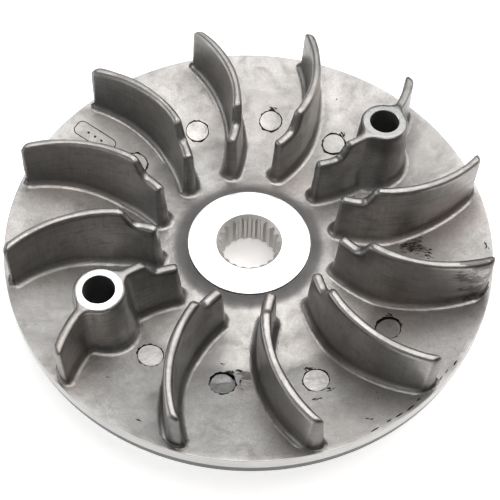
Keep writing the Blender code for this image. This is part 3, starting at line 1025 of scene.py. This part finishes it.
class Finish:
    """A material under construction: small helpers over its node tree."""

    def __init__(self, name, roughness, metallic=1.0):
        self.material = bpy.data.materials.new(name)
        self.material.use_nodes = True
        self.tree = self.material.node_tree
        self.shader = self.tree.nodes["Principled BSDF"]
        self.shader.inputs["Roughness"].default_value = roughness
        self.shader.inputs["Metallic"].default_value = metallic
        self.place = self.tree.nodes.new("ShaderNodeTexCoord").outputs["Object"]

    def put(self, value, socket):
        """Feed a socket from another node's output, or set it to a plain value or tone."""
        if isinstance(value, bpy.types.NodeSocket):
            self.tree.links.new(value, socket)
        elif socket.type == "RGBA":
            socket.default_value = (*value, 1.0)
        else:
            socket.default_value = value

    def node(self, kind, inputs, **settings):
        """A new node, with its settings made and its inputs fed."""
        node = self.tree.nodes.new(kind)
        for name, value in settings.items():
            setattr(node, name, value)
        for name, value in inputs.items():
            self.put(value, node.inputs[name])
        return node

    def stretched(self, scale):
        """Object coordinates scaled along each axis."""
        inputs = {0: self.place, 1: scale}
        return self.node("ShaderNodeVectorMath", inputs, operation="MULTIPLY").outputs[0]

    def noise(self, per_metre, detail=3.0, rough=0.5, place=None, distortion=0.0):
        """Fractal noise over the piece, or over a place given instead."""
        inputs = {"Vector": place or self.place, "Scale": per_metre, "Detail": detail,
                  "Roughness": rough, "Distortion": distortion}
        return self.node("ShaderNodeTexNoise", inputs).outputs["Fac"]

    def cells(self, per_metre):
        """Distance to the nearest of scattered points."""
        inputs = {"Vector": self.place, "Scale": per_metre}
        return self.node("ShaderNodeTexVoronoi", inputs).outputs["Distance"]

    def math(self, operation, a, b=0.0):
        return self.node("ShaderNodeMath", {0: a, 1: b}, operation=operation).outputs[0]

    def span(self, value, low, high, to_low=0.0, to_high=1.0):
        """Rescale a value smoothly, clamped at both ends."""
        inputs = {"Value": value, "From Min": low, "From Max": high,
                  "To Min": to_low, "To Max": to_high}
        node = self.node("ShaderNodeMapRange", inputs, clamp=True, interpolation_type="SMOOTHSTEP")
        return node.outputs["Result"]

    def mix(self, share, a, b):
        """Blend of two colours."""
        inputs = {"Factor": share, "A": a, "B": b}
        return self.node("ShaderNodeMix", inputs, data_type="RGBA").outputs["Result"]

    def axis(self, name):
        """One of the object coordinates."""
        return self.node("ShaderNodeSeparateXYZ", {0: self.place}).outputs[name]

    def reach(self, centre=(0.0, 0.0)):
        """Distance from a vertical line."""
        x = self.math("SUBTRACT", self.axis("X"), centre[0])
        y = self.math("SUBTRACT", self.axis("Y"), centre[1])
        total = self.math("ADD", self.math("MULTIPLY", x, x), self.math("MULTIPLY", y, y))
        return self.math("SQRT", total)

    def bump(self, height, depth, strength=1.0, normal=None):
        """Relief of the given depth, over an earlier relief if there is one."""
        inputs = {"Strength": strength, "Distance": depth, "Height": height}
        if normal is not None:
            inputs["Normal"] = normal
        return self.node("ShaderNodeBump", inputs).outputs["Normal"]

    def done(self, colour, roughness, normal):
        """Wire up the shader and give the material."""
        self.put(colour, self.shader.inputs["Base Color"])
        self.put(roughness, self.shader.inputs["Roughness"])
        self.put(normal, self.shader.inputs["Normal"])
        return self.material


def boss_top_mask(look):
    """1 on the machined ring on top of either boss and 0 elsewhere, and the distance from the
    nearer boss's axis."""
    near = look.math("MINIMUM", look.reach(BOSS_CENTRE.xy), look.reach(-BOSS_CENTRE.xy))
    ring = look.span(near, BOSS_TOP_RADIUS - 0.9 * MM, BOSS_TOP_RADIUS - 0.5 * MM, 1.0, 0.0)
    level = look.span(look.axis("Z"), VANE_TOP_Z - 0.12 * MM, VANE_TOP_Z - 0.03 * MM)
    return look.math("MULTIPLY", ring, level), near


def cast_look(name, tone, roughness, ring_tone=None, hub_ring=False, dented=0.0, dark_spots=(),
              scraped=0.1, tip_end_shade=0.0):
    """Die-cast aluminium: clouded satin grey, stains, mottle, grain, faint drag marks, specks.
    It can also have a boss's machined ring, the ring round the hub, dents, dark blotchy spots,
    stronger scrapes, and painted shade on the vanes' end faces."""
    look = Finish(name, roughness[0])
    clouds = look.noise(55, 5, 0.6, distortion=0.6)
    stains = look.noise(150, 5, 0.65, distortion=0.8)
    mottle = look.noise(620, 4, 0.7)
    grain = look.noise(2300, 2, 0.6)
    drag = look.noise(1.0, 3, 0.6, place=look.stretched((1500, 1500, 120)))
    warm = look.noise(38, 3, 0.5, distortion=0.4)
    scrape = look.noise(1.0, 3, 0.7, place=look.stretched((110, 110, 1500)))
    pink = (tone[0] * 1.06, tone[1] * 0.96, tone[2] * 0.92)
    colour = look.mix(look.span(clouds, 0.3, 0.7), scaled(tone, 0.78), scaled(tone, 1.12))
    for source, low, high, at_low, at_high, layer in (
        (stains, 0.50, 0.72, 0.0, 0.55, scaled(tone, 0.55)),
        (warm, 0.52, 0.72, 0.0, 0.6, pink),
        (mottle, 0.30, 0.50, 0.30, 0.0, scaled(tone, 0.6)),
        (mottle, 0.52, 0.72, 0.0, 0.25, scaled(tone, 1.3)),
        (drag, 0.42, 0.7, 0.0, 0.35, scaled(tone, 0.62)),
        (scrape, 0.50, 0.72, 0.0, scraped, scaled(tone, 0.5)),
        (grain, 0.3, 0.7, 0.0, 0.35, scaled(tone, 0.72)),
    ):
        colour = look.mix(look.span(source, low, high, at_low, at_high), colour, layer)
    specks = look.span(look.cells(420), 0.05, 0.09, 1.0, 0.0)
    sparse = look.span(look.noise(90, 2), 0.56, 0.62)
    specks = look.math("MULTIPLY", specks, sparse)
    colour = look.mix(look.math("MULTIPLY", specks, 0.75), colour, SPECK_TONE)
    rough = look.span(stains, 0.3, 0.7, *roughness)
    normal = look.bump(look.noise(140, 3, 0.5), 0.22 * MM, 0.5)
    normal = look.bump(mottle, 0.03 * MM + dented, 0.6, normal)
    normal = look.bump(drag, 0.03 * MM, 0.5, normal)
    if hub_ring:
        edge = HUB_RADIUS + HUB_RING_WIDTH
        shift = look.span(clouds, 0.3, 0.7, -HUB_RING_WANDER, HUB_RING_WANDER)
        wavy = look.math("ADD", look.reach(), shift)
        ring = look.span(wavy, edge - 1.0 * MM, edge + 1.3 * MM, 0.85, 0.0)
        colour = look.mix(ring, colour, HUB_RING_TONE)
        rough = look.math("ADD", look.math("MULTIPLY", ring, HUB_RING_ROUGHER), rough)
        around = look.span(look.reach(), 22 * MM, 36 * MM, 1.0, 0.0)
        peel = look.math("MULTIPLY", look.noise(480, 3, 0.6), around)
        normal = look.bump(peel, 0.16 * MM, 0.7, normal)
    # Painted shade: the vanes' end faces darken towards the tip
    if tip_end_shade:
        shade_start = VANE_TIP_RADIUS - TIP_END_SHADE_WIDTH
        end_shade_mask = look.span(look.reach(), shade_start, shade_start + 0.5 * MM, 0.0, tip_end_shade)
        colour = look.mix(end_shade_mask, colour, GROOVE_DIRT_AND_SHADE_TONE)
    for centre_x, centre_y, radius in dark_spots:
        blotch_noise = look.noise(1.0, 4, 0.7, place=look.stretched((160, 420, 520)))
        near = look.reach((centre_x, centre_y))
        heart = look.span(near, radius * 0.3, radius, 0.16, 0.0)
        blotched = look.span(look.math("ADD", blotch_noise, heart), 0.58, 0.66, 0.0, 0.75)
        edge = look.span(near, radius * 0.75, radius, 1.0, 0.0)
        colour = look.mix(look.math("MULTIPLY", blotched, edge), colour, DARK_SPOT_TONE)
    if ring_tone is not None:
        mask, near = boss_top_mask(look)
        waves = look.math("SINE", look.math("MULTIPLY", near, math.tau / BOSS_RING_PITCH))
        rings = look.span(waves, -1.0, 1.0)
        ring_colour = look.mix(rings, scaled(ring_tone, 0.92), ring_tone)
        colour = look.mix(mask, colour, ring_colour)
        rough = look.math("MULTIPLY", rough, look.span(mask, 0.0, 1.0, 1.0, 0.7))
        grain = look.math("MULTIPLY", grain, look.span(mask, 0.0, 1.0, 1.0, 0.1))
    normal = look.bump(grain, 0.04 * MM, 0.6, normal)
    return look.done(colour, rough, normal)


def turned_look(name, tone, roughness, ring_pitch, depth):
    """Metal turned on a lathe: fine rings about the axis, with faint wide bands."""
    look = Finish(name, roughness)
    along = look.math("ADD", look.reach(), look.axis("Z"))
    inputs = {"W": along, "Scale": 1.0 / ring_pitch, "Detail": 3.0}
    rings = look.node("ShaderNodeTexNoise", inputs, noise_dimensions="1D").outputs["Fac"]
    clouds = look.noise(90, 4, 0.6)
    colour = look.mix(look.span(clouds, 0.35, 0.65), scaled(tone, 0.9), tone)
    colour = look.mix(look.span(rings, 0.35, 0.65, 0.0, 0.25), colour, scaled(tone, 0.8))
    rough = look.span(rings, 0.3, 0.7, roughness * 0.85, roughness * 1.2)
    return look.done(colour, rough, look.bump(rings, depth, 0.6))


def make_looks():
    """Every finish, by the name that the pieces use."""
    looks = {
        "cast": cast_look(
            "cast_aluminium_vane", CAST_TONE, VANE_ROUGHNESS,
            dark_spots=TIP_DARK_PATCH, scraped=VANE_SCRAPES, tip_end_shade=TIP_END_SHADE,
        ),
        "cast_disc": cast_look(
            "cast_aluminium_disc", CAST_TONE, DISC_ROUGHNESS, hub_ring=True, dark_spots=DISC_DIRT,
        ),
        "pad": cast_look("pin_pad", PAD_TONE, PAD_ROUGHNESS, dented=PAD_DENTS),
        "pad_dull": cast_look("pin_pad_dull", PAD_DULL_TONE, PAD_ROUGHNESS, dented=PAD_DENTS),
        # Every groove, pit and nick: dirt with painted shade
        "pad_edge": cast_look("groove_dirt_and_painted_shade", GROOVE_DIRT_AND_SHADE_TONE, PAD_ROUGHNESS),
    }
    for key, (name, tone, rough, pitch, depth) in TURNED_LOOKS.items():
        looks[key] = turned_look(name, tone, rough, pitch * MM, depth * MM)
    # The first boss's top gets the darker tone: painted shade
    for number, tone in enumerate(BOSS_TOP_SHADED_AND_PLAIN_TONES, 1):
        # The boss vanes' darker cast tone is painted shade
        looks[f"cast_boss_{number}"] = cast_look(
            f"cast_aluminium_boss_{number}", BOSS_SHADED_CAST_TONE, VANE_ROUGHNESS,
            ring_tone=tone, scraped=VANE_SCRAPES,
        )
    return looks


# -------- studio


def build_floor():
    """Wide white sheet that the part stands on."""
    shape = bmesh.new()
    for x, y in ((-1, -1), (1, -1), (1, 1), (-1, 1)):
        shape.verts.new((x * FLOOR_HALF, y * FLOOR_HALF, FLOOR_Z))
    shape.faces.new(shape.verts)
    mesh = mesh_of(shape, "studio_floor")
    floor = linked("studio_floor", mesh)
    look = Finish("white_sheet", 0.9, 0.0)
    look.put(FLOOR_TONE, look.shader.inputs["Base Color"])
    look.put(WHITE, look.shader.inputs["Emission Color"])
    shade = look.span(look.reach(), SHADE_CORE, SHADE_RADIUS, SHADE_GLOW, 1.0)
    glow = look.math("MULTIPLY", shade, look.span(look.reach(), *GLOW_FADE, FLOOR_GLOW, FAR_GLOW))
    look.put(glow, look.shader.inputs["Emission Strength"])
    mesh.materials.append(look.material)


def add_softbox(name, place, size, power, tint):
    """Rectangular lamp that the camera doesn't see."""
    light = bpy.data.lights.new(name, "AREA")
    light.shape = "RECTANGLE"
    light.size, light.size_y = size
    light.energy = power
    light.color = tint
    lamp = linked(name, light)
    lamp.location = place
    lamp.visible_camera = False
    lamp.rotation_mode = "QUATERNION"
    lamp.rotation_quaternion = (LAMP_TARGET - Vector(place)).to_track_quat("-Z", "Y")


def build_world():
    """Even pale surroundings."""
    world = bpy.data.worlds.new("studio")
    world.use_nodes = True
    background = world.node_tree.nodes["Background"]
    background.inputs["Color"].default_value = (*WHITE, 1.0)
    background.inputs["Strength"].default_value = WORLD_GLOW
    bpy.context.scene.world = world


def build_camera():
    """Camera above the front of the part, looking at the axis at the height of the rim's edge."""
    cosine = math.cos(CAMERA_ELEVATION)
    sine = math.sin(CAMERA_ELEVATION)
    back = Vector((0.0, -cosine, sine))
    up = Vector((0.0, sine, cosine))
    right = Vector((1.0, 0.0, 0.0))
    turn = Matrix.Rotation(CAMERA_ROLL, 3, back)
    data = bpy.data.cameras.new("photo_camera")
    camera = linked("photo_camera", data)
    axes = Matrix((turn @ right, turn @ up, back)).transposed().to_4x4()
    axes.translation = back * CAMERA_DISTANCE + Vector((0.0, 0.0, RIM_TOP_Z))
    camera.matrix_world = axes
    data.sensor_width = 36.0
    data.lens = CAMERA_LENS
    data.shift_x, data.shift_y = CAMERA_SHIFT
    data.clip_start = 0.001
    bpy.context.scene.camera = camera


def main():
    """Build every piece and the studio."""
    looks = make_looks()
    build_disc(looks)
    build_hub(looks)
    build_vanes(looks)
    build_boss_vanes(looks)
    build_floor()
    build_world()
    for softbox in SOFTBOXES:
        add_softbox(*softbox)
    build_camera()
    bpy.context.scene.view_settings.view_transform = "Standard"


main()
